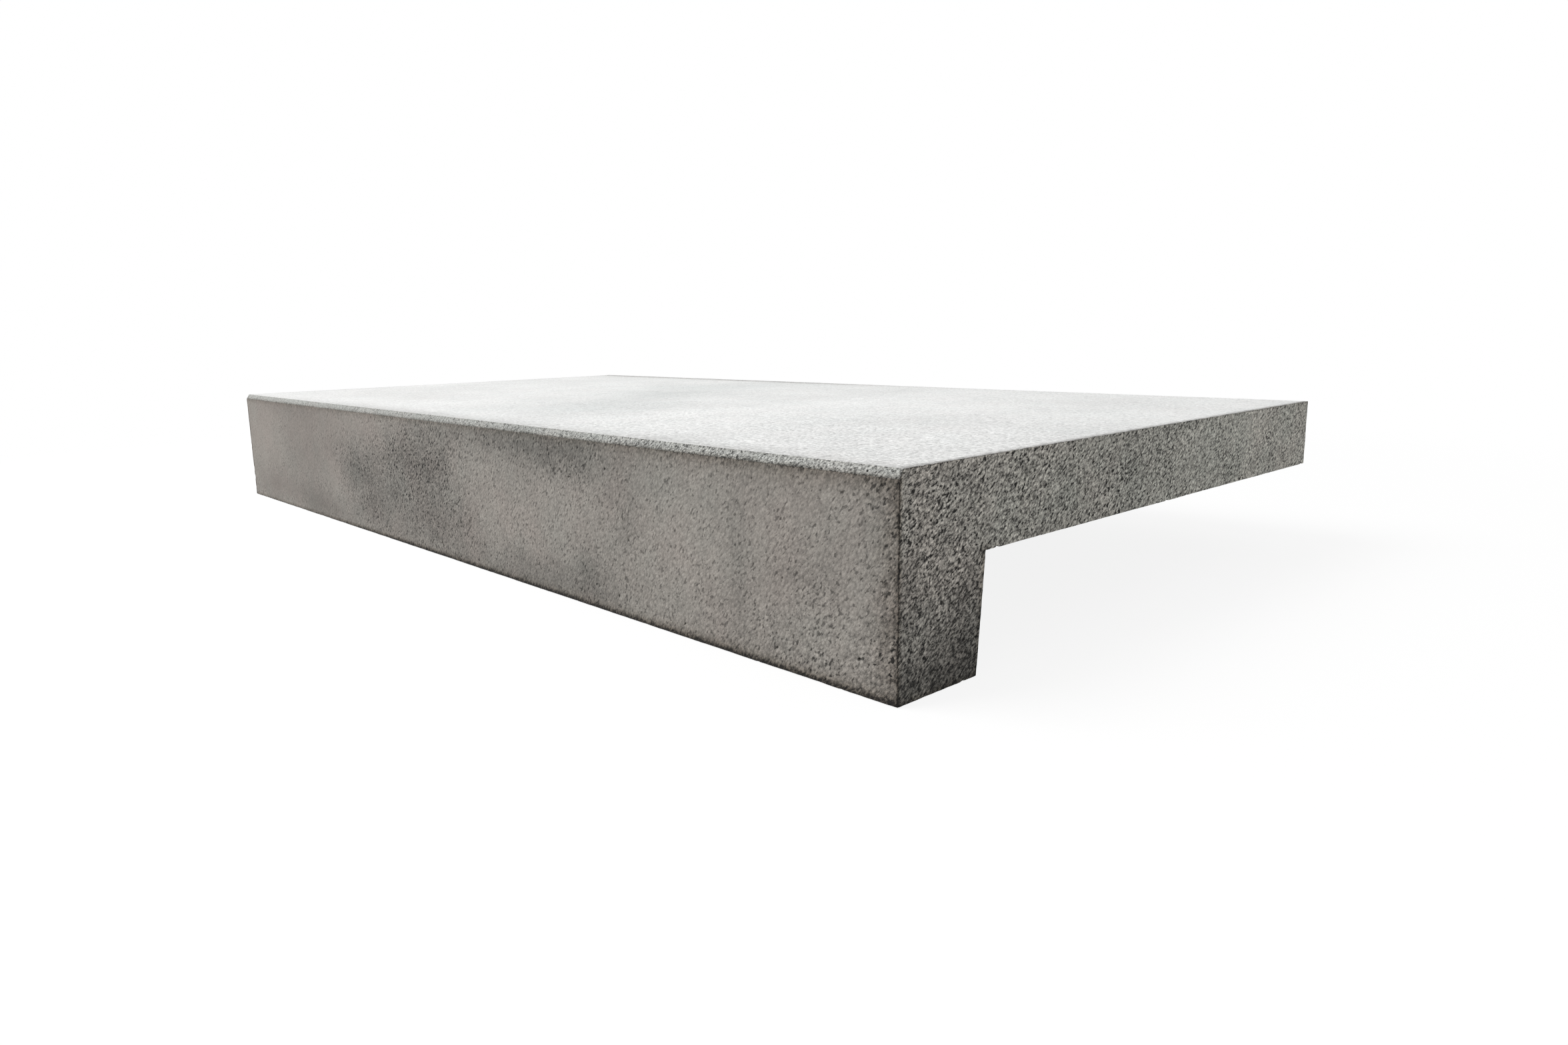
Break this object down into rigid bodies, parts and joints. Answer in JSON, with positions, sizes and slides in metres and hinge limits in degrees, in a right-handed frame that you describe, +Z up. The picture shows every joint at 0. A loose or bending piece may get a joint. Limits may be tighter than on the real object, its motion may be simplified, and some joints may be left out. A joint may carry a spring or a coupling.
{
  "type": "drop-edge coping slab",
  "caption": "Rectangular coping slab in one piece: a flat slab whose front edge turns down in a deeper square nose, with a rebate behind it and a small bevel on top.",
  "frame": {"origin": "middle of the footprint, level with the foot of the nose", "axes": "+X along the nose, +Y from the nose's face to the back edge, +Z up with the top level as laid"},
  "size_m": [0.6, 0.3, 0.07],
  "materials": {
    "granular_stone": "matt granular grey, fine pits, smoother paler top face"
  },
  "bodies": {
    "root": {"drop_edge_slab": "granular_stone"}
  },
  "joints": []
}
